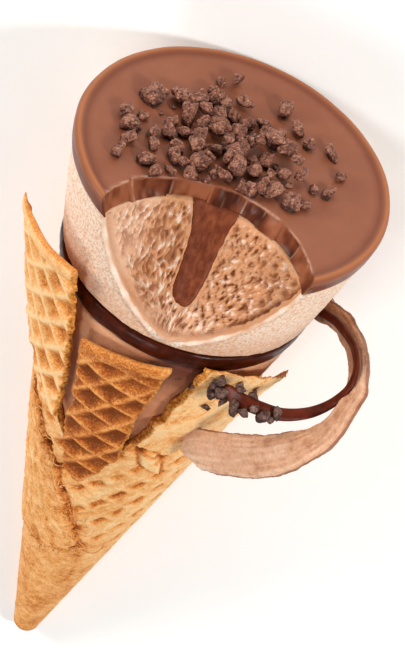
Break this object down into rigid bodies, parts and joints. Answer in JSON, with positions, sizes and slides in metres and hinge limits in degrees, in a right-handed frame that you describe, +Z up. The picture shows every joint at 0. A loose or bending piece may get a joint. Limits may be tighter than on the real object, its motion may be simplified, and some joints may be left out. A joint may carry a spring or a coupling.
{
  "type": "ice cream cone",
  "caption": "Filled waffle cone lying on its side: a bitten puck of ice cream under a chocolate glaze with brownie bits, a sauce layer, a darker filling, wafer shards and a curl with sauce.",
  "frame": {"origin": "on the ground, under the middle of the bounding box", "axes": "+Z up; +Y towards the cone's tip, -Y the way the glazed end faces; the bitten side is up; +X towards the curl's other side, so the curl and the sauce ribbon lie at -X"},
  "size_m": [0.0752, 0.1648, 0.0599],
  "materials": {
    "wafer": "matte baked wafer",
    "ice_cream_dark": "matte frozen",
    "ice_cream_light": "matte frozen, finely pored",
    "sauce": "glossy wet",
    "sauce_core": "satin",
    "glaze": "satin set chocolate"
  },
  "bodies": {
    "root": {"wafer_cone": "wafer", "wafer_shard_left": "wafer", "wafer_shard_front": "wafer", "ice_cream_lower": "ice_cream_dark", "sauce_layer": "sauce", "ice_cream_puck": "ice_cream_light", "sauce_core": "sauce_core", "glaze": "glaze", "ice_cream_curl": "ice_cream_light", "sauce_ribbon": "sauce"}
  },
  "joints": []
}
